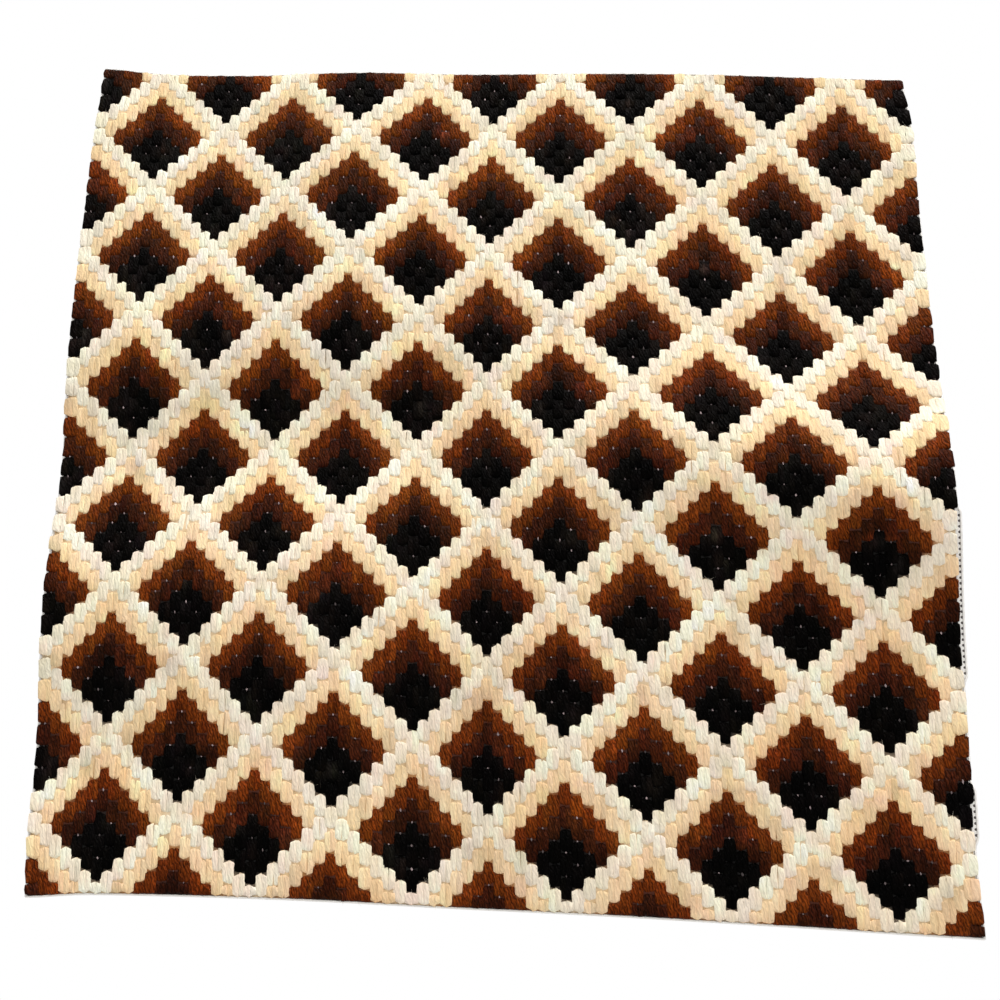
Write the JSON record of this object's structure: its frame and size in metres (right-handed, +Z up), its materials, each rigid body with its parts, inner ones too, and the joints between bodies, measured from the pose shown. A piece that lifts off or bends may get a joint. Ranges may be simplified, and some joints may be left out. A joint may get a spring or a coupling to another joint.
{
  "type": "bargello needlepoint wall hanging",
  "caption": "Square canvaswork panel in a stepped diamond lattice of cream, brown and black wool, hung by its top edge in soft folds.",
  "frame": {"origin": "middle of the top edge, halfway through the cloth, where the hanging is held", "axes": "+Z up, +X to the right for someone facing the worked front, +Y back towards the wall, so the front looks along -Y"},
  "size_m": [0.449, 0.0366, 0.4394],
  "materials": {
    "wool": "matt wool yarn over white canvas, in white, cream, brown, dark brown and black"
  },
  "bodies": {
    "root": {"panel": "wool"}
  },
  "joints": []
}
